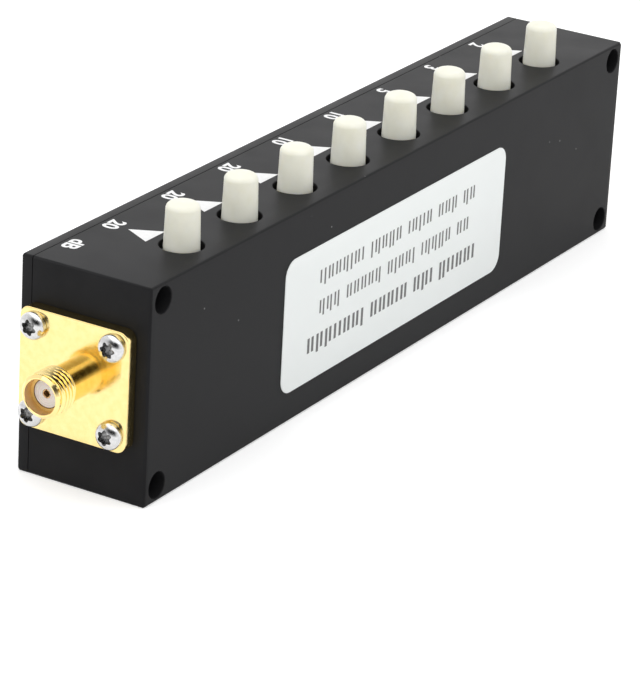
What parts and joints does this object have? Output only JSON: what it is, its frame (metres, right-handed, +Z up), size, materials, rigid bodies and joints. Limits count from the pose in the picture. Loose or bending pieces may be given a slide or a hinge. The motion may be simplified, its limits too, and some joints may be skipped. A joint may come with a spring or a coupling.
{
  "type": "step attenuator",
  "caption": "Long black aluminium box with a row of white push buttons on top and a gold threaded coaxial jack on each end.",
  "frame": {"origin": "middle of the case's underside", "axes": "+X along the case from the input jack to the output jack, +Y out of the side cover (-Y is the label face), +Z up out of the button face"},
  "size_m": [0.1554, 0.0211, 0.0385],
  "materials": {
    "case": "black anodised, satin",
    "cover_screw": "black oxide, satin",
    "circuit_board": "green solder mask",
    "screw": "bright, unpainted",
    "switch": "black moulded",
    "plunger": "natural moulded",
    "button_cap": "cream white, semi-gloss moulded",
    "gold_plate": "gold plated brass, polished",
    "insulator": "white fluoropolymer",
    "label": "white coated sticker"
  },
  "bodies": {
    "case": {"housing": "case", "side_cover": "case", "cover_screw_1": "cover_screw", "cover_screw_2": "cover_screw", "cover_screw_3": "cover_screw", "cover_screw_4": "cover_screw", "cover_screw_5": "cover_screw", "cover_screw_6": "cover_screw", "circuit_board": "circuit_board", "board_screw_1": "screw", "board_screw_2": "screw", "board_screw_3": "screw", "board_screw_4": "screw", "switch_1": "switch", "switch_2": "switch", "switch_3": "switch", "switch_4": "switch", "switch_5": "switch", "switch_6": "switch", "switch_7": "switch", "switch_8": "switch", "return_spring_1": "screw", "return_spring_2": "screw", "return_spring_3": "screw", "return_spring_4": "screw", "return_spring_5": "screw", "return_spring_6": "screw", "return_spring_7": "screw", "return_spring_8": "screw", "input_jack": "gold_plate", "input_insulator": "insulator", "input_contact": "gold_plate", "input_flange_screw_1": "screw", "input_flange_screw_2": "screw", "input_flange_screw_3": "screw", "input_flange_screw_4": "screw", "output_jack": "gold_plate", "output_insulator": "insulator", "output_contact": "gold_plate", "output_flange_screw_1": "screw", "output_flange_screw_2": "screw", "output_flange_screw_3": "screw", "output_flange_screw_4": "screw", "label": "label"},
    "button_1": {"plunger_1": "plunger", "button_cap_1": "button_cap"},
    "button_2": {"plunger_2": "plunger", "button_cap_2": "button_cap"},
    "button_3": {"plunger_3": "plunger", "button_cap_3": "button_cap"},
    "button_4": {"plunger_4": "plunger", "button_cap_4": "button_cap"},
    "button_5": {"plunger_5": "plunger", "button_cap_5": "button_cap"},
    "button_6": {"plunger_6": "plunger", "button_cap_6": "button_cap"},
    "button_7": {"plunger_7": "plunger", "button_cap_7": "button_cap"},
    "button_8": {"plunger_8": "plunger", "button_cap_8": "button_cap"}
  },
  "joints": [
    {"name": "button_1_press", "type": "slide", "parent": "case", "child": "button_1", "axis": [0, 0, -1], "range_m": [0, 0.0025], "stiffness_N_per_m": 400, "springref_m": -0.0015, "deforming": ["return_spring_1"]},
    {"name": "button_2_press", "type": "slide", "parent": "case", "child": "button_2", "axis": [0, 0, -1], "range_m": [0, 0.0025], "stiffness_N_per_m": 400, "springref_m": -0.0015, "deforming": ["return_spring_2"]},
    {"name": "button_3_press", "type": "slide", "parent": "case", "child": "button_3", "axis": [0, 0, -1], "range_m": [0, 0.0025], "stiffness_N_per_m": 400, "springref_m": -0.0015, "deforming": ["return_spring_3"]},
    {"name": "button_4_press", "type": "slide", "parent": "case", "child": "button_4", "axis": [0, 0, -1], "range_m": [0, 0.0025], "stiffness_N_per_m": 400, "springref_m": -0.0015, "deforming": ["return_spring_4"]},
    {"name": "button_5_press", "type": "slide", "parent": "case", "child": "button_5", "axis": [0, 0, -1], "range_m": [0, 0.0025], "stiffness_N_per_m": 400, "springref_m": -0.0015, "deforming": ["return_spring_5"]},
    {"name": "button_6_press", "type": "slide", "parent": "case", "child": "button_6", "axis": [0, 0, -1], "range_m": [0, 0.0025], "stiffness_N_per_m": 400, "springref_m": -0.0015, "deforming": ["return_spring_6"]},
    {"name": "button_7_press", "type": "slide", "parent": "case", "child": "button_7", "axis": [0, 0, -1], "range_m": [0, 0.0025], "stiffness_N_per_m": 400, "springref_m": -0.0015, "deforming": ["return_spring_7"]},
    {"name": "button_8_press", "type": "slide", "parent": "case", "child": "button_8", "axis": [0, 0, -1], "range_m": [0, 0.0025], "stiffness_N_per_m": 400, "springref_m": -0.0015, "deforming": ["return_spring_8"]}
  ]
}
